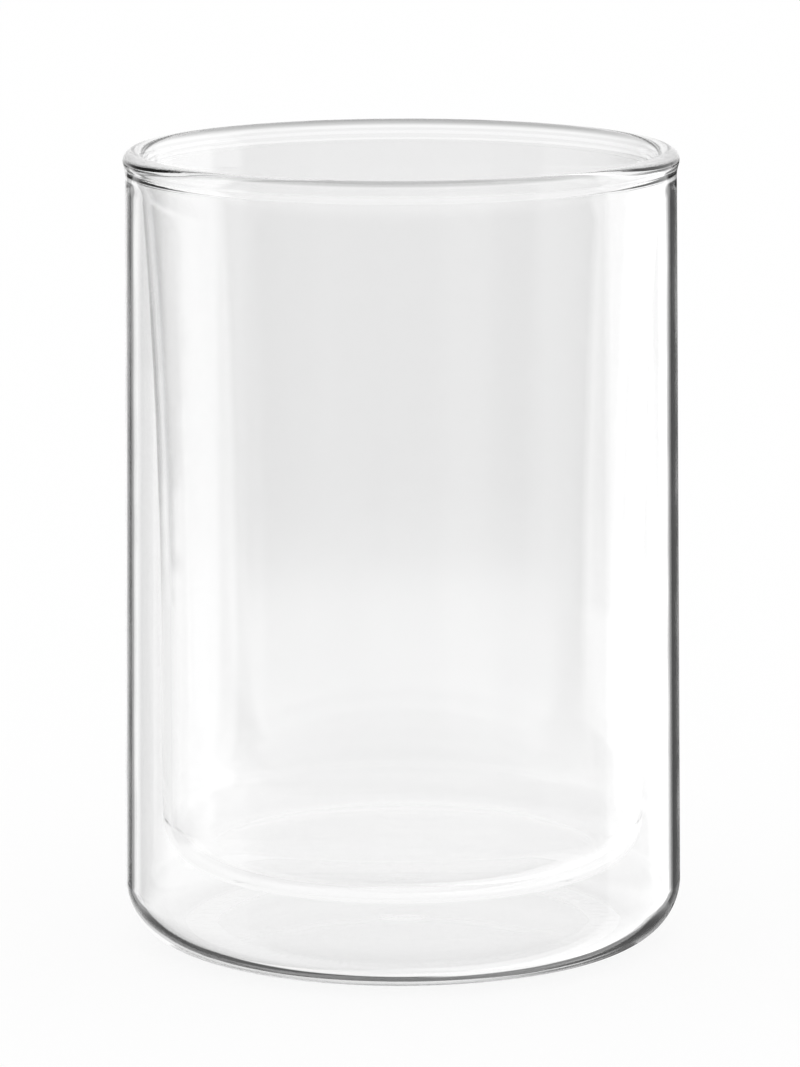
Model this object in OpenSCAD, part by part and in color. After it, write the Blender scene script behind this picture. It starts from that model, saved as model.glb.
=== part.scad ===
// Double-walled glass tumbler: two blown vessels, melted together at the rim, with a sealed air space between them.
// Millimetres, +Z up, origin on the table under the middle of the glass.

/* [Overall] */
// Height from the table to the top of the rim
glass_height = 116.4; // [95:0.1:150]
// Radius of the outer wall just above the heel, its widest place
foot_radius = 41; // [34:0.1:48]
// How much narrower the outer wall's radius is at the rim
wall_taper = 1; // [0.4:0.1:1.6]

/* [Outer vessel] */
// Thickness of the outer wall
outer_wall = 1.6; // [1.2:0.1:2.4]
// Outside radius of the rounded heel
heel_radius = 8.5; // [5:0.5:12]
// Thickness of the base
base_thickness = 1.6; // [1.2:0.1:4]
// Width of the flat ring that the glass stands on
stand_ring = 5; // [3:0.5:8]
// Rise of the base in its middle
base_rise = 1.2; // [1:0.1:2.5]

/* [Inner vessel] */
// Thickness of the inner wall
inner_wall = 1.5; // [1.2:0.1:2.4]
// Thickness of the floor under the drink
floor_thickness = 2; // [1.5:0.1:4]
// Air gap between the two walls at the foot
foot_gap = 4; // [3:0.1:6]
// Air gap between the base and the floor under the drink
floor_gap = 9.6; // [5:0.1:14]
// Outside radius of the bottom corner
corner_radius = 7; // [4:0.5:12]
// Length of straight wall, from the vessel's bottom to where it starts to open out
straight_height = 33; // [20:1:50]
// Air gap between the two walls where the lip starts to turn out
lip_gap = 0.95; // [0.5:0.05:1.2]
// Height of the lip that turns out to meet the outer wall
lip_height = 4.2; // [3:0.2:8]

/* [Rim] */
// Radius of the melted bead's round top
bead_radius = 1.6; // [1.5:0.05:1.8]
// How far the bead stands out past the outer wall
bead_proud = 0.35; // [0.2:0.05:0.6]
// Depth below the top of the rim at which the two walls join the bead
seam_depth = 3.2; // [3:0.1:5]
// Air gap that is left between the two walls at the seam
seam_gap = 0.1; // [0.05:0.05:0.3]

/* [Vent seal] */
// Radius of the vent hole in the base
vent_radius = 2.5; // [1.5:0.1:4]
// Radius of the button that closes the vent
button_radius = 4.5; // [4.2:0.1:7]
// Height of the button below the base
button_height = 0.7; // [0.5:0.1:0.9]
// Room between the seal and the base
seal_clearance = 0.05; // [0.02:0.01:0.1]

/* [Hidden] */
$fn = 256;
glass_colour = [0.86, 0.92, 0.94, 0.4];
seal_colour = [0.72, 0.82, 0.86, 0.6];
// Cutting shapes reach this far past what they cut
past = 1;
// The wedge round the bead's top reaches this many times the bead's radius
wedge_reach = 4;

seam_z = glass_height - seam_depth;
mouth_radius = foot_radius - wall_taper;

// Inside radius of the outer wall at a height
function outer_bore(z) =
    foot_radius - outer_wall - wall_taper * (z - heel_radius) / (seam_z - heel_radius);

// Radius of the arc that leaves a straight line and is off it by a distance at the end of a run
function rise_radius(run, off) = (run * run + off * off) / (2 * off);

// The outer vessel's base is part of a sphere between the stand ring's inner edges
heel_centre = foot_radius - heel_radius;
dome_radius = rise_radius(heel_centre - stand_ring, base_rise);
dome_centre = base_rise - dome_radius;

// The inner vessel's outside: straight, then one long arc, then the lip's short arc, each tangent to the last
cup_bottom = base_thickness + floor_gap;
cup_radius = foot_radius - outer_wall - foot_gap;
flare_z = cup_bottom + straight_height;
lip_z = seam_z - lip_height;
lip_radius = outer_bore(lip_z) - lip_gap;
flare_arc = rise_radius(lip_z - flare_z, lip_radius - cup_radius);
flare_centre = [cup_radius + flare_arc, flare_z];

lip_start = [lip_radius, lip_z];
lip_end = [outer_bore(seam_z) - seam_gap, seam_z];
lip_inward = (flare_centre - lip_start) / flare_arc;
lip_step = lip_end - lip_start;
lip_arc = (lip_step * lip_step) / (2 * lip_step * lip_inward);
lip_centre = lip_start + lip_arc * lip_inward;
lip_bore = lip_centre.x - sqrt(pow(lip_arc + inner_wall, 2) - pow(seam_z - lip_centre.y, 2));

// The bead is a circle with a straight flank down to each wall
bead_centre = [mouth_radius + bead_proud - bead_radius, glass_height - bead_radius];

// Where a line from a point touches the bead's circle, on the side given by +1 or -1
function touch(point, side) =
    let (
        away = point - bead_centre,
        turn = atan2(away.y, away.x) + side * acos(bead_radius / norm(away))
    )
    bead_centre + bead_radius * [cos(turn), sin(turn)];

// A quarter of a disc, at the lower outside corner of a profile
module corner_disc(centre, radius) {
    intersection() {
        translate(centre) circle(radius);
        translate([centre.x, centre.y - radius]) square(radius);
    }
}

// Filled half profile of the outer vessel, or of the space inside it, up to a height
module outer_outline(foot, mouth, heel, bottom, dome, top) {
    polygon([[0, bottom + heel], [foot, bottom + heel], [mouth, top], [0, top]]);
    corner_disc([foot - heel, bottom + heel], heel);
    difference() {
        translate([0, bottom]) square([foot - heel, heel]);
        translate([0, dome_centre]) circle(dome);
    }
}

module outer_vessel() {
    color(glass_colour)
    difference() {
        rotate_extrude() {
            difference() {
                outer_outline(foot_radius, mouth_radius, heel_radius, 0, dome_radius, seam_z);
                outer_outline(
                    foot_radius - outer_wall,
                    mouth_radius - outer_wall,
                    heel_radius - outer_wall,
                    base_thickness,
                    dome_radius + base_thickness,
                    seam_z
                );
            }
        }
        translate([0, 0, -past]) cylinder(r = vent_radius, h = base_rise + base_thickness + 2 * past);
    }
}

// A band of the half profile between two heights, out to where an arc cuts it
module arc_band(low, high, centre, radius) {
    difference() {
        translate([0, low]) square([mouth_radius, high - low]);
        translate(centre) circle(radius);
    }
}

// Filled half profile of the inner vessel, set in from its outside by a wall and a floor
module inner_outline(wall, floor) {
    corner = corner_radius - wall;
    bottom = cup_bottom + floor;
    straight = cup_radius - wall;
    translate([0, bottom]) square([straight - corner, corner]);
    corner_disc([straight - corner, bottom + corner], corner);
    translate([0, bottom + corner]) square([straight, flare_z - bottom - corner]);
    arc_band(flare_z, lip_z, flare_centre, flare_arc + wall);
    arc_band(lip_z, seam_z, lip_centre, lip_arc + wall);
}

module inner_vessel() {
    color(glass_colour)
    rotate_extrude() {
        difference() {
            inner_outline(0, 0);
            inner_outline(inner_wall, floor_thickness);
        }
    }
}

module rim_bead() {
    outer_seam = [mouth_radius, seam_z];
    inner_seam = [lip_bore, seam_z];
    outer_touch = touch(outer_seam, 1);
    inner_touch = touch(inner_seam, -1);
    // The corners of a wedge that holds the bead's round top, well outside it
    outer_corner = bead_centre + wedge_reach * (outer_touch - bead_centre);
    inner_corner = bead_centre + wedge_reach * (inner_touch - bead_centre);
    crown = wedge_reach * bead_radius * [0, 1];
    color(glass_colour)
    union() {
        rotate_extrude() polygon([inner_seam, outer_seam, outer_touch, bead_centre, inner_touch]);
        rotate_extrude() intersection() {
            translate(bead_centre) circle(bead_radius);
            polygon([bead_centre, outer_corner, outer_corner + crown, inner_corner + crown, inner_corner]);
        }
    }
}

module vent_seal() {
    button_arc = rise_radius(button_radius, button_height);
    dome_drop = dome_radius - sqrt(pow(dome_radius, 2) - pow(button_radius, 2));
    button_top = base_rise - dome_drop - seal_clearance;
    color(seal_colour)
    union() {
        rotate_extrude() intersection() {
            translate([0, button_top - button_height + button_arc]) circle(button_arc);
            translate([0, button_top - button_height]) square([button_radius, button_height]);
        }
        translate([0, 0, button_top - button_height / 2])
            cylinder(r = vent_radius - seal_clearance, h = base_thickness + button_height / 2);
    }
}

outer_vessel();
inner_vessel();
rim_bead();
vent_seal();
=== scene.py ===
# %% [markdown]
# # A double-walled glass, dressed for the camera
#
# The object is a clear tumbler made of two blown glass vessels. They are melted together at the rim,
# and the air between them keeps the drink warm or cold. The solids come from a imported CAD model, in
# metres, with the origin on the table under the middle of the glass. This lesson rebuilds each piece as
# a fine turned mesh, because glass shows every facet, gives it a clear glass that bends light, and then
# lights it for the camera.

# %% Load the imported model
import math

import bpy
import numpy as np
from mathutils import Matrix, Vector


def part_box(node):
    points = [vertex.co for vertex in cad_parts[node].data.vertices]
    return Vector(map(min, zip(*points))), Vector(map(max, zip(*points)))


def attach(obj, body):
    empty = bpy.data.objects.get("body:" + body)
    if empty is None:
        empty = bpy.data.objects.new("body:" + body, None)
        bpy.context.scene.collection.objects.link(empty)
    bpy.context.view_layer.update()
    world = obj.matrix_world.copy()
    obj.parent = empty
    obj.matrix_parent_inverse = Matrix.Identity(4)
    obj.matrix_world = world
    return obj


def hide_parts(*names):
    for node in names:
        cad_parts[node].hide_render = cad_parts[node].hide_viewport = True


MM = 0.001

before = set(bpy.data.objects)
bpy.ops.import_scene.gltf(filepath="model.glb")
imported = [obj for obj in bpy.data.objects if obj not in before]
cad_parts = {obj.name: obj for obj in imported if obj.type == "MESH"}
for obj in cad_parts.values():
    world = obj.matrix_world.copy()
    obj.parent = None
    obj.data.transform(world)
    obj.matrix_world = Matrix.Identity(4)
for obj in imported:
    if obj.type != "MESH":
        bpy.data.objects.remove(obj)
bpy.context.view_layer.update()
print("pieces in the model:", sorted(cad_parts))

# %% [markdown]
# ## The sizes
#
# The driving sizes are the same ones that the solids were made from, in millimetres. Heights and radii
# that the solids already hold are read from their boxes, so that the dressed glass can't drift away
# from them.

# %% Sizes of the two vessels
def top_of(node):
    """Height of a node's top, in millimetres."""
    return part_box(node)[1].z / MM


def radius_of(node):
    """Largest radius of a turned node, in millimetres."""
    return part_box(node)[1].x / MM


GLASS_HEIGHT = top_of("rim_bead")
SEAM_Z = top_of("outer_vessel")
FOOT_RADIUS = radius_of("outer_vessel")
CUP_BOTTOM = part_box("inner_vessel")[0].z / MM
WALL_TAPER = 1.0
OUTER_WALL = 1.6
HEEL_RADIUS = 8.5
BASE_THICKNESS = 1.6
STAND_RING = 5.0
BASE_RISE = 1.2
INNER_WALL = 1.5
FLOOR_THICKNESS = 2.0
FOOT_GAP = 4.0
CORNER_RADIUS = 7.0
STRAIGHT_HEIGHT = 33.0
LIP_GAP = 0.95
LIP_HEIGHT = 4.2
BEAD_RADIUS = 1.6
BEAD_PROUD = 0.35
SEAM_GAP = 0.1
VENT_RADIUS = 2.5
BUTTON_RADIUS = 4.5

MOUTH_RADIUS = FOOT_RADIUS - WALL_TAPER
HEEL_CENTRE = FOOT_RADIUS - HEEL_RADIUS
RING_INSIDE = HEEL_CENTRE - STAND_RING
CUP_RADIUS = FOOT_RADIUS - OUTER_WALL - FOOT_GAP
FLARE_Z = CUP_BOTTOM + STRAIGHT_HEIGHT
LIP_Z = SEAM_Z - LIP_HEIGHT
print(f"height {GLASS_HEIGHT:.1f}, foot {2 * FOOT_RADIUS:.1f} and mouth {2 * MOUTH_RADIUS:.1f} mm across")

# %% [markdown]
# ## Profiles made of spans
#
# Every piece is turned round one axis, so its shape is a line drawn on half a section: radius across,
# height up. A profile could be one list of points with smooth shading, but then a long straight wall
# would borrow part of its shading from the arc it joins, and the bent light would show it. So a profile
# is a chain of spans here. Each span is a curve with its own exact normals, and two spans that meet
# smoothly share one normal there.

# %% Curves for the spans
def line(start, end):
    """A straight span."""
    start, end = np.array(start), np.array(end)
    return lambda t: start + (end - start) * t


def arc(centre, radius, first, last):
    """A span of a circle, between two angles in degrees."""
    centre = np.array(centre)

    def at(t):
        turn = math.radians(first + (last - first) * t)
        return centre + radius * np.array([math.cos(turn), math.sin(turn)])

    return at


def sweep(start, start_way, end, end_way):
    """A smooth span that leaves and arrives along two given ways."""
    start, end = np.array(start), np.array(end)
    reach = np.linalg.norm(end - start)
    leave = np.array(start_way) / np.linalg.norm(start_way) * reach
    arrive = np.array(end_way) / np.linalg.norm(end_way) * reach

    def at(t):
        ease = t * t * (3 - 2 * t)
        return start * (1 - ease) + end * ease + leave * t * (1 - t) ** 2 - arrive * t * t * (1 - t)

    return at


def part_of(curve, first, last):
    """A stretch of a curve."""
    return lambda t: curve(first + (last - first) * t)


print("curves ready: line, arc and sweep")

# %% [markdown]
# The normal at a point stands square to the way the curve goes there. It is worked out from two points
# close by, which holds for any curve, where each kind of curve would need a formula of its own.

# %% Points and normals along a curve
SAMPLE_STEP = 1e-4


def span(curve, steps, finish="glass"):
    """Points along a curve, with normals on its right-hand side and the finish of its surface."""
    points, normals = [], []
    for t in np.linspace(0.0, 1.0, steps + 1):
        way = curve(t + SAMPLE_STEP) - curve(t - SAMPLE_STEP)
        way = way / np.linalg.norm(way)
        points.append(curve(t))
        normals.append((way[1], -way[0]))
    return np.array(points), np.array(normals), finish


def rise_radius(run, off):
    """Radius of the arc that is off a straight line by a distance at the end of a run."""
    return (run * run + off * off) / (2 * off)


def angle_on(centre, point):
    """Angle of a point seen from a centre, in degrees."""
    return math.degrees(math.atan2(point[1] - centre[1], point[0] - centre[0]))


print("normal of a line that goes up:", span(line((1.0, 0.0), (1.0, 1.0)), 1)[1][0])

# %% [markdown]
# ## The two walls
#
# The outer wall leans in by a millimetre towards the mouth. The inner wall is straight at the bottom,
# opens out along one very long arc and ends in a lip that turns out to meet the outer wall. A free
# curve could be drawn through a few points, but arcs that are tangent to each other give the same
# smooth wall from the sizes alone. Both faces of the flare and of the lip share one centre, and their
# radii differ by the wall.

# %% Centres and ends of the walls' arcs
def outer_bore(z):
    """Inside radius of the outer wall at a height."""
    share = (z - HEEL_RADIUS) / (SEAM_Z - HEEL_RADIUS)
    return FOOT_RADIUS - OUTER_WALL - WALL_TAPER * share


dome_radius = rise_radius(RING_INSIDE, BASE_RISE)
dome_centre = (0.0, BASE_RISE - dome_radius)

lip_start = np.array([outer_bore(LIP_Z) - LIP_GAP, LIP_Z])
lip_end = np.array([outer_bore(SEAM_Z) - SEAM_GAP, SEAM_Z])
flare_radius = rise_radius(LIP_Z - FLARE_Z, lip_start[0] - CUP_RADIUS)
flare_centre = np.array([CUP_RADIUS + flare_radius, FLARE_Z])
lip_inward = (flare_centre - lip_start) / flare_radius
lip_step = lip_end - lip_start
lip_radius = lip_step.dot(lip_step) / (2 * lip_step.dot(lip_inward))
lip_centre = lip_start + lip_radius * lip_inward
inner_lip_radius = lip_radius + INNER_WALL
lip_bore = lip_centre[0] - math.sqrt(inner_lip_radius**2 - (SEAM_Z - lip_centre[1]) ** 2)
lip_turn = angle_on(lip_centre, lip_start)
lip_end_turn = angle_on(lip_centre, lip_end)
lip_bore_turn = angle_on(lip_centre, (lip_bore, SEAM_Z))
flare_turn = angle_on(flare_centre, lip_start)

wall_lean = (-WALL_TAPER, SEAM_Z - HEEL_RADIUS)
bead_centre = np.array([MOUTH_RADIUS + BEAD_PROUD - BEAD_RADIUS, GLASS_HEIGHT - BEAD_RADIUS])
print(f"cup bore {2 * (CUP_RADIUS - INNER_WALL):.1f} mm, lip bore {2 * lip_bore:.1f} mm across")
print(f"inner wall opens out on an arc of {flare_radius:.0f} mm, lip on one of {lip_radius:.1f} mm")

# %% [markdown]
# ## Turning a profile
#
# A profile is turned into a ring of quads for each step along it. The mesh could come from a Screw
# modifier, but then the exact normals would be lost, so the vertices are worked out here and the
# normals are set on every corner. The pieces are melted together, and no light bends where they meet.
# The faces at such a seam close each piece, so that it is a whole solid, and they carry a finish that
# light passes straight through.

# %% Turned meshes
TURN_STEPS = 320
# Profile points that are equal to this many digits, in millimetres, share their vertices.
SHARED_DIGITS = 6


def turned(name, spans, finishes):
    """A closed mesh turned from a chain of spans, with exact normals and one finish for each span."""
    turns = np.linspace(0, 2 * math.pi, TURN_STEPS, endpoint=False)
    around = np.stack([np.cos(turns), np.sin(turns)], axis=1)
    vertices, faces, normals, kinds = [], [], [], []
    rings = {}

    def ring(point):
        """Vertex numbers of the circle through a profile point, or of the one vertex on the axis."""
        key = (round(point[0], SHARED_DIGITS), round(point[1], SHARED_DIGITS))
        if key not in rings:
            first = len(vertices)
            if key[0] == 0:
                vertices.append((0.0, 0.0, point[1] * MM))
                rings[key] = [first] * TURN_STEPS
            else:
                for across, along in around:
                    vertices.append((point[0] * across * MM, point[0] * along * MM, point[1] * MM))
                rings[key] = list(range(first, first + TURN_STEPS))
        return rings[key]

    for points, ways, finish in spans:
        for low, high, low_way, high_way in zip(points[:-1], points[1:], ways[:-1], ways[1:]):
            low_ring, high_ring = ring(low), ring(high)
            for here in range(TURN_STEPS):
                ahead = (here + 1) % TURN_STEPS
                low_corners = [(low_ring[here], low_way, here), (low_ring[ahead], low_way, ahead)]
                high_corners = [(high_ring[ahead], high_way, ahead), (high_ring[here], high_way, here)]
                # On the axis a ring is one vertex, so a face has one corner fewer there.
                if low_ring[here] == low_ring[ahead]:
                    low_corners.pop(1)
                if high_ring[here] == high_ring[ahead]:
                    high_corners.pop(0)
                corners = low_corners + high_corners
                faces.append([vertex for vertex, way, step in corners])
                for vertex, way, step in corners:
                    normals.append((way[0] * around[step][0], way[0] * around[step][1], way[1]))
                kinds.append(finish)
    mesh = bpy.data.meshes.new(name)
    mesh.from_pydata(vertices, [], faces)
    for finish in finishes:
        mesh.materials.append(finishes[finish])
    slots = list(finishes)
    mesh.polygons.foreach_set("material_index", [slots.index(kind) for kind in kinds])
    mesh.shade_smooth()
    mesh.normals_split_custom_set(normals)
    mesh.validate()
    piece = bpy.data.objects.new(name, mesh)
    bpy.context.scene.collection.objects.link(piece)
    print(f"{name}: {len(vertices)} vertices, {len(faces)} faces")
    return piece


# %% [markdown]
# ## Borosilicate glass, blown and fire-polished
#
# Borosilicate glass is very clear and has an index of refraction of 1.47. Blown and fire-polished, it
# has no polishing marks: the surface is smooth and only a little wavy, over patches of a centimetre or
# so, and faint lines run up the wall where it was drawn. The rim was melted in the flame, and the drop
# on the vent was laid on soft, so their waves are shorter. A Glass shader would do for a picture. The
# Principled shader is used because it also exports. Its colour, roughness and index are the same all
# over, and two noises bend only the normal.

# %% A small function that adds nodes
def linear(code):
    """Linear colour of an sRGB hex code."""
    parts = [int(code[i : i + 2], 16) / 255 for i in (1, 3, 5)]
    lights = [part / 12.92 if part <= 0.04045 else ((part + 0.055) / 1.055) ** 2.4 for part in parts]
    return (*lights, 1.0)


def add(tree, kind, links=None, **settings):
    """One node with its settings, and links or values for its sockets. A node gives its first output."""
    made = tree.nodes.new(kind)
    for key, value in settings.items():
        setattr(made, key, value)
    for socket, value in (links or {}).items():
        if isinstance(value, bpy.types.Node):
            value = value.outputs[0]
        if isinstance(value, bpy.types.NodeSocket):
            tree.links.new(value, made.inputs[socket])
        else:
            made.inputs[socket].default_value = value
    return made


def new_material(name):
    """An empty node material and its tree."""
    made = bpy.data.materials.new(name)
    made.use_nodes = True
    made.node_tree.nodes.clear()
    return made, made.node_tree


print("middle grey in linear:", [round(part, 3) for part in linear("#808080")[:3]])

# %% [markdown]
# The waves could be a displaced mesh, but a bump is enough for slopes this small. Scales come from
# millimetres: a noise of scale 1 has patches about one metre wide.

# %% The glass
GLASS_TINT = "#ffffff"
GLASS_IOR = 1.47
FIRE_POLISHED = 0.0
WAVE_DETAIL = 1.0
LINE_DETAIL = 2.0
LINE_LENGTH_MM = 80.0
LINE_SHARE = 0.12
# The noise is 1 mm high, and this share of its tilt is used, so that the lines at the edges stay crisp.
TILT_SHARE = 0.02


def fine_glass(name, wave_mm, line_mm):
    """Clear borosilicate glass with slow waves and faint upright lines, of given widths."""
    made, tree = new_material(name)
    place = add(tree, "ShaderNodeTexCoord").outputs["Object"]
    wave_settings = {"Vector": place, "Scale": 1 / (wave_mm * MM), "Detail": WAVE_DETAIL}
    waves = add(tree, "ShaderNodeTexNoise", wave_settings)
    stretch = (1 / line_mm, 1 / line_mm, 1 / LINE_LENGTH_MM)
    drawn = add(tree, "ShaderNodeMapping", {"Vector": place, "Scale": stretch})
    line_settings = {"Vector": drawn, "Scale": 1 / MM, "Detail": LINE_DETAIL}
    lines = add(tree, "ShaderNodeTexNoise", line_settings)
    height = add(tree, "ShaderNodeMath", {0: lines, 1: LINE_SHARE, 2: waves}, operation="MULTIPLY_ADD")
    bump = add(tree, "ShaderNodeBump", {"Strength": TILT_SHARE, "Distance": MM, "Height": height})
    settings = {
        "Base Color": linear(GLASS_TINT),
        "Roughness": FIRE_POLISHED,
        "IOR": GLASS_IOR,
        "Transmission Weight": 1.0,
        "Normal": bump,
    }
    glass = add(tree, "ShaderNodeBsdfPrincipled", settings)
    add(tree, "ShaderNodeOutputMaterial", {"Surface": glass})
    return made


print("glass with an index of", GLASS_IOR)

# %% [markdown]
# ## The melted seam
#
# Where two pieces were melted into one, the glass goes on without a surface. The seam's faces could be
# left out, but then no piece would be a closed solid. So they stay and are clear, by an alpha of zero.
# Only a few seeds, tiny bubbles that the flame shut in, have a trace of haze. At their real size they
# show from close up only.

# %% The seam, and the finishes of each piece
SEED_SPACE_MM = 2.5
SEED_MM = 0.12
SEED_HAZE = 0.1


def melted_seam(name):
    """The plane where two pieces are melted into one: it bends no light and holds a few tiny bubbles."""
    made, tree = new_material(name)
    place = add(tree, "ShaderNodeTexCoord").outputs["Object"]
    seeds = add(tree, "ShaderNodeTexVoronoi", {"Vector": place, "Scale": 1 / (SEED_SPACE_MM * MM)})
    bubble = add(tree, "ShaderNodeMath", {0: seeds, 1: SEED_MM / SEED_SPACE_MM}, operation="LESS_THAN")
    haze = add(tree, "ShaderNodeMath", {0: bubble, 1: SEED_HAZE}, operation="MULTIPLY")
    clear = add(tree, "ShaderNodeBsdfPrincipled", {"Base Color": linear(GLASS_TINT), "Alpha": haze})
    add(tree, "ShaderNodeOutputMaterial", {"Surface": clear})
    return made


seam_glass = melted_seam("borosilicate_flame_melted_seam")
outer_glass = fine_glass("borosilicate_blown_outer", wave_mm=14.0, line_mm=3.0)
inner_glass = fine_glass("borosilicate_blown_inner", wave_mm=11.0, line_mm=2.5)
rim_glass = fine_glass("borosilicate_flame_melted_rim", wave_mm=9.0, line_mm=5.0)
drop_glass = fine_glass("borosilicate_melted_drop", wave_mm=5.0, line_mm=4.0)
finishes = (outer_glass, inner_glass, rim_glass, drop_glass, seam_glass)
print("finishes:", [glass.name for glass in finishes])

# %% [markdown]
# ## The outer vessel
#
# The outer vessel stands on a flat ring, round a base that is pushed up a little so that it can't rock.
# From the ring the heel turns up in one round, and the wall goes on to the seam under the rim. Near the
# top the wall swells into the bead. A straight flank would leave a crease that bent light shows, so a
# smooth sweep is drawn from the wall to the bead, and the seam cuts it into the vessel's part and the
# bead's part.

# %% The flank that the wall and the bead share
BLEND_DROP = 2.6
FLANK_TURN = -20.0
FLANK_SAMPLES = 401
TANGENT_STEP = 0.01

wall_foot = (FOOT_RADIUS, HEEL_RADIUS)
blend_share = (SEAM_Z - HEEL_RADIUS - BLEND_DROP) / (SEAM_Z - HEEL_RADIUS)
wall_top = np.array(wall_foot) + blend_share * np.array(wall_lean)
bead_flank = arc(bead_centre, BEAD_RADIUS, FLANK_TURN, 90.0)
flank = sweep(wall_top, wall_lean, bead_flank(0.0), bead_flank(TANGENT_STEP) - bead_flank(0.0))
flank_shares = np.linspace(0, 1, FLANK_SAMPLES)
seam_share = flank_shares[int(np.argmin([abs(flank(share)[1] - SEAM_Z) for share in flank_shares]))]
seam_outside = flank(seam_share)
bore_top = (outer_bore(SEAM_Z), SEAM_Z)
print(f"the seam cuts the flank at {seam_share:.4f} of its run, {seam_outside[0]:.2f} mm from the axis")

# %% [markdown]
# The chain of spans goes round the section once: along the underside, up the outside, across the seam,
# down the inside and in along the base to the vent.

# %% Outer vessel
heel = (HEEL_CENTRE, HEEL_RADIUS)
heel_inside_radius = HEEL_RADIUS - OUTER_WALL
heel_inside = (HEEL_CENTRE, BASE_THICKNESS + heel_inside_radius)
bore_foot = (FOOT_RADIUS - OUTER_WALL, heel_inside[1])


def dome_arc(radius, outer, inner):
    """The base's round rise between two radii."""
    first = math.degrees(math.acos(outer / radius))
    last = math.degrees(math.acos(inner / radius))
    return arc(dome_centre, radius, first, last)


top_dome = dome_radius + BASE_THICKNESS
dome_foot = math.sqrt(top_dome**2 - (BASE_THICKNESS - dome_centre[1]) ** 2)
under_dome = dome_arc(dome_radius, BUTTON_RADIUS, RING_INSIDE)
over_dome = dome_arc(top_dome, dome_foot, VENT_RADIUS)
under_vent = dome_arc(dome_radius, VENT_RADIUS, BUTTON_RADIUS)
outer_spans = [
    span(under_vent, steps=2, finish="seam"),
    span(under_dome, steps=24),
    span(line(under_dome(1.0), (HEEL_CENTRE, 0.0)), steps=2),
    span(arc(heel, HEEL_RADIUS, -90.0, 0.0), steps=48),
    span(line(wall_foot, wall_top), steps=40),
    span(part_of(flank, 0.0, seam_share), steps=10),
    span(line(seam_outside, bore_top), steps=1, finish="seam"),
    span(line(bore_top, bore_foot), steps=40),
    span(arc(heel_inside, heel_inside_radius, 0.0, -90.0), steps=40),
    span(line((HEEL_CENTRE, BASE_THICKNESS), (dome_foot, BASE_THICKNESS)), steps=2),
    span(over_dome, steps=24),
    span(line(over_dome(1.0), under_vent(0.0)), steps=1, finish="seam"),
]
outer_piece = turned("outer_vessel_glass", outer_spans, {"glass": outer_glass, "seam": seam_glass})

# %% [markdown]
# ## The inner vessel
#
# The inner vessel is the cup that holds the drink. It could be the outer vessel made smaller, but its
# wall opens out and its corner is tighter, so it has a chain of its own. Its outside is followed from
# under the floor, round the corner and up to the seam, and its inside from the seam down the wall and
# in along the floor.

# %% Inner vessel
corner = (CUP_RADIUS - CORNER_RADIUS, CUP_BOTTOM + CORNER_RADIUS)
bore_corner_radius = CORNER_RADIUS - INNER_WALL
floor_z = CUP_BOTTOM + FLOOR_THICKNESS
bore_corner = (corner[0], floor_z + bore_corner_radius)
bore = CUP_RADIUS - INNER_WALL
inner_flare_radius = flare_radius + INNER_WALL
flare_foot = -180.0 if flare_turn < 0 else 180.0
inner_spans = [
    span(line((0.0, CUP_BOTTOM), (corner[0], CUP_BOTTOM)), steps=12),
    span(arc(corner, CORNER_RADIUS, -90.0, 0.0), steps=40),
    span(line((CUP_RADIUS, corner[1]), (CUP_RADIUS, FLARE_Z)), steps=16),
    span(arc(flare_centre, flare_radius, flare_foot, flare_turn), steps=40),
    span(arc(lip_centre, lip_radius, lip_turn, lip_end_turn), steps=16),
    span(line(lip_end, (lip_bore, SEAM_Z)), steps=1, finish="seam"),
    span(arc(lip_centre, inner_lip_radius, lip_bore_turn, lip_turn), steps=16),
    span(arc(flare_centre, inner_flare_radius, flare_turn, flare_foot), steps=40),
    span(line((bore, FLARE_Z), (bore, bore_corner[1])), steps=16),
    span(arc(bore_corner, bore_corner_radius, 0.0, -90.0), steps=36),
    span(line((bore_corner[0], floor_z), (0.0, floor_z)), steps=12),
]
inner_piece = turned("inner_vessel_glass", inner_spans, {"glass": inner_glass, "seam": seam_glass})

# %% [markdown]
# ## The rim bead
#
# Where the two walls were melted together, surface tension pulled the soft glass into a round bead, a
# little prouder than the wall outside. A torus would touch the walls in two creases. This bead starts
# at the seam, runs on from the outer wall without a crease, goes over the top and comes down into the
# inner lip.

# %% Rim bead
INNER_TURN = 186.0
bead_over = arc(bead_centre, BEAD_RADIUS, FLANK_TURN, INNER_TURN)
bead_end_way = bead_over(1.0) - bead_over(1.0 - TANGENT_STEP)
lip_way = np.array([lip_bore, SEAM_Z]) - lip_centre
inner_way = (lip_way[1], -lip_way[0])
inner_flank = sweep(bead_over(1.0), bead_end_way, (lip_bore, SEAM_Z), inner_way)
bead_spans = [
    span(part_of(flank, seam_share, 1.0), steps=10),
    span(bead_over, steps=72),
    span(inner_flank, steps=10),
    span(line((lip_bore, SEAM_Z), lip_end), steps=1, finish="seam"),
    span(line(lip_end, bore_top), steps=1),
    span(line(bore_top, seam_outside), steps=1, finish="seam"),
]
bead_piece = turned("rim_bead_glass", bead_spans, {"glass": rim_glass, "seam": seam_glass})

# %% [markdown]
# ## The vent seal
#
# While the rim is melted, hot air has to leave the space between the walls, so the base has a small
# vent. A drop of glass closes it at the end. It spreads under the base and stays clear of the table.
# The solid has a plain button there. Its edge would show as a ring in bent light, so the drop runs out
# softly into the base.

# %% Vent seal
SEAL_SAG = 0.18


def button(t):
    """The seal's underside: the base's own line, with a soft drop that has melted into it."""
    radius = BUTTON_RADIUS * t
    base = dome_centre[1] + math.sqrt(dome_radius**2 - radius**2)
    return np.array([radius, base - SEAL_SAG * (1 + math.cos(math.pi * t)) / 2])


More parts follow.
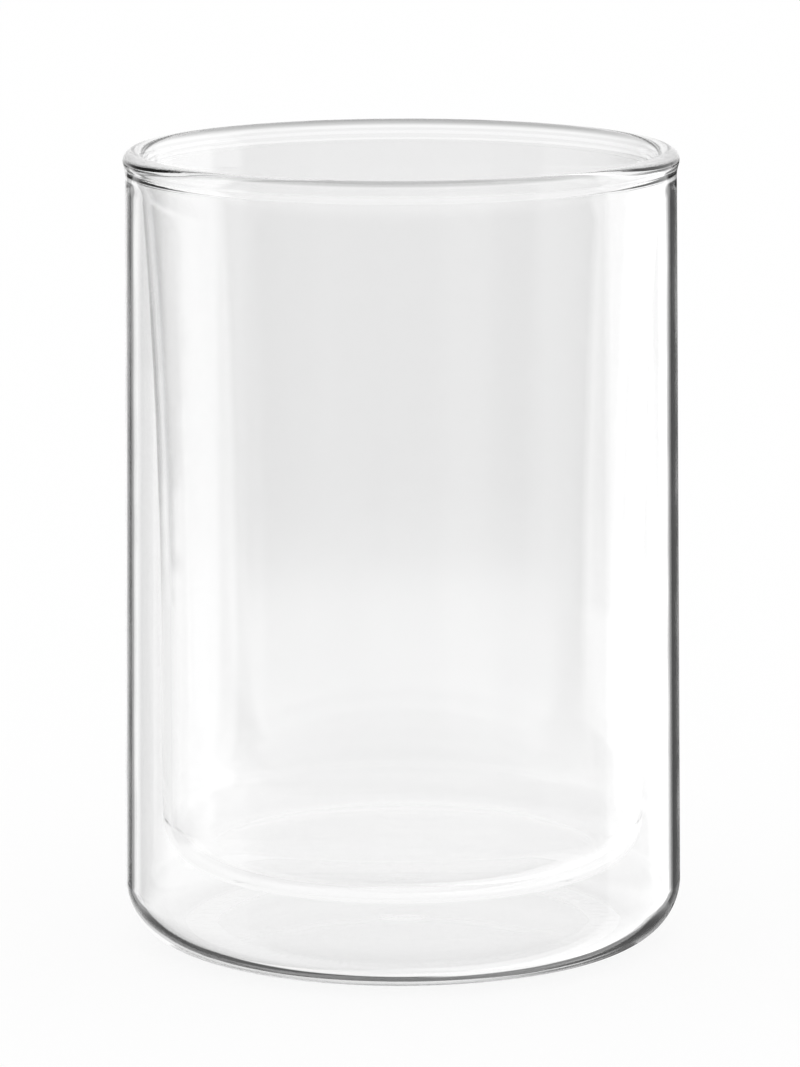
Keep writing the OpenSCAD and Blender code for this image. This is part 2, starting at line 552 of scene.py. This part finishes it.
seal_spans = [
    span(button, steps=24),
    span(part_of(under_vent, 1.0, 0.0), steps=2, finish="seam"),
    span(line(under_vent(0.0), over_dome(1.0)), steps=1, finish="seam"),
    span(dome_arc(top_dome, VENT_RADIUS, 0.0), steps=6),
]
seal_piece = turned("vent_seal_glass", seal_spans, {"glass": drop_glass, "seam": seam_glass})

# %% [markdown]
# ## Each piece stands for its solid
#
# The dressed pieces ride on the model's one body, and each takes the place of the solid it was made
# from.

# %% Ride and replace
for piece, node, slot in (
    (outer_piece, "outer_vessel", "outer_glass"),
    (inner_piece, "inner_vessel", "inner_glass"),
    (bead_piece, "rim_bead", "rim_glass"),
    (seal_piece, "vent_seal", "seal_glass"),
):
    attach(piece, "root")
    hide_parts(node)
    print(piece.name, "stands for", node)

# %% [markdown]
# ## The camera
#
# The camera looks down a little. Its height and lens were fitted to the outline in the photograph, for
# a distance of 0.9 metres. From 0.6 metres the outline fits about as well, and 0.9 gives the wall that
# leans less. The frame could be set with the lens shift, but a shift would move the glass in other
# views, so the camera is turned.

# %% Camera
IMAGE_WIDTH, IMAGE_HEIGHT = 800, 1067
CAMERA_DISTANCE = 0.9
CAMERA_ELEVATION = 10.34
CAMERA_ROLL = -0.16
FOCAL_PIXELS = 6138.8
CENTRE_PIXEL = (401.9, 543.4)
SENSOR_MM = 36.0

camera_data = bpy.data.cameras.new("camera")
camera = bpy.data.objects.new("camera", camera_data)
bpy.context.scene.collection.objects.link(camera)
bpy.context.scene.camera = camera
camera_data.sensor_width = SENSOR_MM
camera_data.lens = FOCAL_PIXELS * SENSOR_MM / IMAGE_HEIGHT
rise = math.radians(CAMERA_ELEVATION)
middle = Vector((0.0, 0.0, GLASS_HEIGHT * MM / 2))
back = Vector((0.0, -math.cos(rise), math.sin(rise)))
camera.location = middle + CAMERA_DISTANCE * back
aim = back.to_track_quat("Z", "Y").to_matrix().to_4x4()
pan = math.atan((CENTRE_PIXEL[0] - IMAGE_WIDTH / 2) / FOCAL_PIXELS)
tilt = math.atan((CENTRE_PIXEL[1] - IMAGE_HEIGHT / 2) / FOCAL_PIXELS)
turn = Matrix.Rotation(pan, 4, "Y") @ Matrix.Rotation(tilt, 4, "X")
roll = Matrix.Rotation(math.radians(CAMERA_ROLL), 4, "Z")
camera.matrix_world = Matrix.Translation(camera.location) @ aim @ turn @ roll
print(f"lens {camera_data.lens:.1f} mm at {CAMERA_DISTANCE} m")

# %% [markdown]
# ## A studio for clear glass
#
# Clear glass has no colour of its own. It shows what is behind it, less what each of its faces throws
# back, and on top of that it mirrors what stands around it. Lamps and cards could be built for this,
# but every card would also show through the glass. Light Path tells the rays apart instead. A ray that
# was only bent sees plain white, apart from some shades on the paper. A ray that has been mirrored sees
# a drawn studio of soft boxes and dark cards. Light Path also counts the faces that a ray was bent at,
# which tells a single wall from the inner vessel. All the levels and limits below were set for the
# photograph's view.

# %% Helpers for soft limits
# Light Path counts in whole numbers, so a limit lies half-way between two of them.
HALF_WAY = 0.5


def all_of(tree, *shares):
    """The share that is left where several shares hold at once."""
    whole = shares[0]
    for share in shares[1:]:
        whole = add(tree, "ShaderNodeMath", {0: whole, 1: share}, operation="MULTIPLY")
    return whole


def within(tree, value, *edges):
    """Share of 1 within soft edges. Each edge goes from where the share is 0 to where it is 1."""
    shares = []
    for none, full in edges:
        limits = {"Value": value, "From Min": none, "From Max": full}
        shares.append(add(tree, "ShaderNodeMapRange", limits, interpolation_type="SMOOTHSTEP"))
    return all_of(tree, *shares)


def crossed(tree, path, fewest, most):
    """Whether a ray was bent at no fewer and no more faces than given."""
    faces = path["Transmission Depth"]
    enough = add(tree, "ShaderNodeMath", {0: faces, 1: fewest - HALF_WAY}, operation="GREATER_THAN")
    few = add(tree, "ShaderNodeMath", {0: faces, 1: most + HALF_WAY}, operation="LESS_THAN")
    return all_of(tree, enough, few)


def azimuth_of(tree, place):
    """Azimuth of a place or a direction in degrees, from the camera towards the right."""
    parts = add(tree, "ShaderNodeSeparateXYZ", {0: place}).outputs
    front = add(tree, "ShaderNodeMath", {0: parts[1], 1: -1.0}, operation="MULTIPLY")
    turn = add(tree, "ShaderNodeMath", {0: parts[0], 1: front}, operation="ARCTAN2")
    return add(tree, "ShaderNodeMath", {0: turn}, operation="DEGREES")


def with_panels(tree, azimuth, light, panels):
    """Light with soft boxes put into it one after another."""
    for first, last, soft, level in panels:
        share = within(tree, azimuth, (first - soft, first + soft), (last + soft, last - soft))
        light = add(tree, "ShaderNodeMix", {"Factor": share, "A": light, "B": level})
    return light


print("helpers ready: shares, soft edges, faces crossed, azimuth and panels")

# %% [markdown]
# ## The mirrored room
#
# The world could be an image of a studio, but no image is used here. Soft boxes are stretches of
# azimuth instead, with soft edges, in a dark room. One set hangs below the horizon, where most mirrored
# rays go because the camera looks down, and one above it. The inner vessel mirrors one more soft box at
# the left, in its lower half and its corner. That box is set by the slope of the ray, which tells how
# high on the wall it was mirrored.

# %% Soft boxes
# A ray that was bent at more faces than one wall has been in the inner vessel.
WALL_FACES = 2
DARK_ROOM = 0.13
# Each panel: first and last azimuth in degrees, from the camera towards the right, soft edge and light.
LOW_PANELS = (
    (19.0, 41.0, 2.0, 0.22),
    (96.0, 149.0, 1.5, 1.4),
    (149.0, 190.0, 2.0, 1.0),
    (-118.0, -68.0, 1.5, 0.55),
    (-143.0, -118.0, 3.0, 0.3),
    (-190.0, -143.0, 3.0, 1.0),
)
HIGH_PANELS = (
    (80.0, 150.0, 2.0, 1.0),
    (150.0, 190.0, 5.0, 0.92),
    (-190.0, -150.0, 10.0, 0.92),
)
CUP_PANELS = ((-160.0, -100.0, 8.0, 0.9),)
HORIZON = (-0.03, 0.06)
CUP_SLOPES = ((-0.228, -0.218), (-0.186, -0.192))
CORNER_SLOPES = (-0.30, -0.40)

world = bpy.data.worlds.new("white_studio")
bpy.context.scene.world = world
world.use_nodes = True
sky = world.node_tree
sky.nodes.clear()
path = add(sky, "ShaderNodeLightPath").outputs
way = add(sky, "ShaderNodeTexCoord").outputs["Generated"]
azimuth = azimuth_of(sky, way)
parts = add(sky, "ShaderNodeSeparateXYZ", {0: way}).outputs
sideways, slope = parts[0], parts[2]
bent = path["Transmission Depth"]
deep = add(sky, "ShaderNodeMath", {0: bent, 1: WALL_FACES + HALF_WAY}, operation="GREATER_THAN")
low = with_panels(sky, azimuth, DARK_ROOM, LOW_PANELS)
cup_and_corner = {0: within(sky, slope, *CUP_SLOPES), 1: within(sky, slope, CORNER_SLOPES)}
lit = all_of(sky, add(sky, "ShaderNodeMath", cup_and_corner, operation="ADD"), deep)
low_in_cup = with_panels(sky, azimuth, low, CUP_PANELS)
low = add(sky, "ShaderNodeMix", {"Factor": lit, "A": low, "B": low_in_cup})
high = with_panels(sky, azimuth, DARK_ROOM, HIGH_PANELS)
room = add(sky, "ShaderNodeMix", {"Factor": within(sky, slope, HORIZON), "A": low, "B": high})
print("soft boxes:", len(LOW_PANELS + HIGH_PANELS + CUP_PANELS))

# %% [markdown]
# ## The dark frame
#
# A photographer puts dark cards round a white backdrop, so that the edges of the glass mirror their
# dark and draw its outline. Cards could be modelled, but here the frame is a range of angles from
# straight behind the glass. Its limits turn from those at the sides into those below the glass, where
# the heel turns light further. They differ between left and right, because the lines in the photograph
# do. The inner vessel has a share of the left part.

# %% Dark frame round the backdrop
# First and last angle in degrees from straight behind the glass.
FRAME_LEFT = (15.5, 27.0)
FRAME_RIGHT = (-10.0, 29.0)
FRAME_LOW_LEFT = (25.0, 49.0)
FRAME_LOW_RIGHT = (22.0, 44.0)
FRAME_SOFT = 2.0
FRAME_DARK = 0.08
INNER_SHARE = 0.75
# Where each part holds: sideways or upwards parts of the ray's way, as the camera sees it.
RIGHT_SIDE = (0.02, 0.10)
BELOW = (-0.08, -0.34)
NOT_ABOVE = (0.12, 0.06)
INNER_HEIGHT = (-0.03, 0.0)

up_way = (0.0, math.sin(rise), math.cos(rise))
over = add(sky, "ShaderNodeVectorMath", {0: way, 1: up_way}, operation="DOT_PRODUCT")
over = over.outputs["Value"]
facing = add(sky, "ShaderNodeVectorMath", {0: way, 1: tuple(-back)}, operation="DOT_PRODUCT")
away = add(sky, "ShaderNodeMath", {0: facing.outputs["Value"]}, operation="ARCCOSINE")
away = add(sky, "ShaderNodeMath", {0: away}, operation="DEGREES")
right = within(sky, sideways, RIGHT_SIDE)
below = within(sky, over, BELOW)


def frame_part(at_side, at_bottom):
    """Share of the dark frame, whose limits turn from those at the side into those below the glass."""
    shares = []
    for side_limit, bottom_limit, soft in zip(at_side, at_bottom, (FRAME_SOFT, -FRAME_SOFT)):
        limit = add(sky, "ShaderNodeMix", {"Factor": below, "A": side_limit, "B": bottom_limit})
        past = add(sky, "ShaderNodeMath", {0: away, 1: limit}, operation="SUBTRACT")
        shares.append(within(sky, past, (-soft, soft)))
    return all_of(sky, *shares)


left_part = frame_part(FRAME_LEFT, FRAME_LOW_LEFT)
right_part = frame_part(FRAME_RIGHT, FRAME_LOW_RIGHT)
wall_part = add(sky, "ShaderNodeMix", {"Factor": right, "A": left_part, "B": right_part})
inner_part = add(sky, "ShaderNodeMix", {"Factor": right, "A": left_part, "B": 0.0})
inner_part = all_of(sky, inner_part, INNER_SHARE, within(sky, over, INNER_HEIGHT))
dark = add(sky, "ShaderNodeMix", {"Factor": deep, "A": wall_part, "B": inner_part})
dark = all_of(sky, dark, within(sky, over, NOT_ABOVE))
room = add(sky, "ShaderNodeMix", {"Factor": dark, "A": room, "B": FRAME_DARK})
print(f"dark frame from {FRAME_LEFT[0]} degrees at the left and from {FRAME_LOW_LEFT[0]} below")

# %% [markdown]
# ## The world's light
#
# Some rays run along inside a wall and are mirrored more than a dozen times before they leave it. They
# could come out anywhere, so they get one pale level of their own. Then the three kinds of ray are put
# together: mirrored rays see the room, other rays of the camera see white, and the soft light on the
# paper is a plain white too.

# %% Put the world together
WHITE = linear("#ffffff")
GUIDED_TURNS = 12
GUIDED_LIGHT = 0.95
SOFT_LEVEL = 1.0

turns = path["Glossy Depth"]
guided = add(sky, "ShaderNodeMath", {0: turns, 1: GUIDED_TURNS + HALF_WAY}, operation="GREATER_THAN")
room = add(sky, "ShaderNodeMix", {"Factor": guided, "A": room, "B": GUIDED_LIGHT})
mirrored = add(sky, "ShaderNodeMath", {0: turns, 1: HALF_WAY}, operation="GREATER_THAN")
shown = add(sky, "ShaderNodeMix", {"Factor": mirrored, "A": 1.0, "B": room})
seen = path["Is Camera Ray"]
for kind in ("Is Glossy Ray", "Is Transmission Ray"):
    seen = add(sky, "ShaderNodeMath", {0: seen, 1: path[kind]}, operation="MAXIMUM")
light = add(sky, "ShaderNodeMix", {"Factor": seen, "A": SOFT_LEVEL, "B": shown})
backdrop = add(sky, "ShaderNodeBackground", {"Color": WHITE, "Strength": light})
add(sky, "ShaderNodeOutputWorld", {"Surface": backdrop})
print("nodes in the world:", len(sky.nodes))

# %% [markdown]
# ## The white paper
#
# The glass stands on white paper. A lit sheet would do, but its white would change with every lamp, so
# most of it is a plain white glow, and a small share is paper that takes the soft shadow. Mirrored rays
# find only the part in front of the glass, as a white table that ends softly, and a single wall mirrors
# it fainter.

# %% The table that the glass mirrors
NEAR_TABLE = 1.2
WALL_TABLE = 0.25
# Degrees of azimuth, or metres from the axis, from where the table is gone to where it is whole.
TABLE_LEFT = (-104.0, -88.0)
TABLE_RIGHT = (100.0, 92.0)
TABLE_START = (0.042, 0.055)
TABLE_END = (0.29, 0.15)


def mirrored_table(tree, path, azimuth, reach):
    """The front part of the paper as the glass mirrors it. Elsewhere the rays go on to the world."""
    one_wall = crossed(tree, path, WALL_FACES, WALL_FACES)
    fainter = add(tree, "ShaderNodeMix", {"Factor": one_wall, "A": 1.0, "B": WALL_TABLE})
    around = within(tree, azimuth, TABLE_LEFT, TABLE_RIGHT)
    near = within(tree, reach, TABLE_START, TABLE_END)
    white = add(tree, "ShaderNodeEmission", {"Color": WHITE, "Strength": NEAR_TABLE})
    gone = add(tree, "ShaderNodeBsdfTransparent")
    return add(tree, "ShaderNodeMixShader", {0: all_of(tree, around, near, fainter), 1: gone, 2: white})


print("table mirrored out to", TABLE_END[0], "m")

# %% [markdown]
# In the photograph the white that shows through the back rim, the front of the bead, the base and the
# mouth is darker than the paper. What stood round the real glass could be modelled, but it isn't known.
# So the shade is painted onto the paper: those places are told apart by the faces that a ray was bent
# at and by where it lands, and each has a painted shade of its own.

# %% The paper's white, with painted shades where it shows through the glass
# Painted shades: levels of the paper's white where it is seen through the back rim, the front of the
# bead, the base and the mouth.
BACK_LEVEL = 0.3
FRONT_LEVEL = 0.56
UNDER_LEVEL = 0.93
MOUTH_LEVEL = 0.93
# Fewest and most faces that a ray was bent at.
BACK_FACES = (2, 2)
FRONT_FACES = (6, 6)
UNDER_FACES = (3, 5)
MOUTH_FACES = (2, 4)
# Distances in metres, from where a painted shade is gone to where it is whole.
BACK_SHADE = (0.4, 0.08)
SHADE_LEFT = (-0.05, -0.01)
FRONT_SHADE = (0.30, 0.16)
UNDER_GLASS = (0.043, 0.034)
MOUTH_REACH = (0.55, 0.58)


def painted_paper_level(tree, path, across, reach):
    """Level of the paper, with painted shades where it is seen through the rim, the base and the mouth.
    """
    outside = add(tree, "ShaderNodeMath", {0: reach, 1: TABLE_START[0]}, operation="GREATER_THAN")
    behind = all_of(tree, within(tree, across, SHADE_LEFT), within(tree, reach, BACK_SHADE), outside)
    # Each painted shade: the faces a ray crossed, where it lands on the paper, and the painted level.
    shades = (
        (crossed(tree, path, *BACK_FACES), behind, BACK_LEVEL),
        (crossed(tree, path, *FRONT_FACES), within(tree, reach, FRONT_SHADE), FRONT_LEVEL),
        (crossed(tree, path, *UNDER_FACES), within(tree, reach, UNDER_GLASS), UNDER_LEVEL),
        (crossed(tree, path, *MOUTH_FACES), within(tree, reach, MOUTH_REACH), MOUTH_LEVEL),
    )
    level = 1.0
    for faces, place, shade in shades:
        level = add(tree, "ShaderNodeMix", {"Factor": all_of(tree, faces, place), "A": level, "B": shade})
    return level


print("shades on the paper:", BACK_LEVEL, FRONT_LEVEL, UNDER_LEVEL, MOUTH_LEVEL)

# %% [markdown]
# The sheet itself is one large square under the glass. It is part of the stage and not of the object.

# %% Floor
FLOOR_SIZE = 4.0
SHADOW_SHARE = 0.1
FLOOR_COLOUR = "#fdfdfd"


def studio_floor():
    """White paper: plain white to the camera, with painted shades where seen through the glass, mirrored
    in front only.
    """
    made, tree = new_material("white_paper_sweep")
    path = add(tree, "ShaderNodeLightPath").outputs
    place = add(tree, "ShaderNodeNewGeometry").outputs["Position"]
    across = add(tree, "ShaderNodeSeparateXYZ", {0: place}).outputs[0]
    reach = add(tree, "ShaderNodeVectorMath", {0: place}, operation="LENGTH").outputs["Value"]
    table = mirrored_table(tree, path, azimuth_of(tree, place), reach)
    level = painted_paper_level(tree, path, across, reach)
    glow = add(tree, "ShaderNodeEmission", {"Color": WHITE, "Strength": level})
    paper = add(tree, "ShaderNodeBsdfDiffuse", {"Color": linear(FLOOR_COLOUR)})
    plain = add(tree, "ShaderNodeMixShader", {0: SHADOW_SHARE, 1: glow, 2: paper})
    turns = path["Glossy Depth"]
    mirrored = add(tree, "ShaderNodeMath", {0: turns, 1: HALF_WAY}, operation="GREATER_THAN")
    both = add(tree, "ShaderNodeMixShader", {0: mirrored, 1: plain, 2: table})
    add(tree, "ShaderNodeOutputMaterial", {"Surface": both})
    return made


half = FLOOR_SIZE / 2
floor_corners = [(-half, -half, 0.0), (half, -half, 0.0), (half, half, 0.0), (-half, half, 0.0)]
floor_mesh = bpy.data.meshes.new("floor")
floor_mesh.from_pydata(floor_corners, [], [(0, 1, 2, 3)])
floor_mesh.materials.append(studio_floor())
floor = bpy.data.objects.new("floor", floor_mesh)
bpy.context.scene.collection.objects.link(floor)
print("floor", FLOOR_SIZE, "m wide")

# %% [markdown]
# ## Light paths and view
#
# Looking through two walls, front and back, a ray crosses eight faces, and more at the rim and the
# heel, so the limits on bounces are raised. A low limit would turn those places black. The Standard
# view keeps white as white.

# %% Bounces and view transform
BOUNCES = 160
scene = bpy.context.scene
scene.cycles.max_bounces = BOUNCES
scene.cycles.transmission_bounces = BOUNCES
scene.cycles.glossy_bounces = BOUNCES
scene.cycles.transparent_max_bounces = BOUNCES
scene.view_settings.view_transform = "Standard"
print("bounces:", scene.cycles.max_bounces)
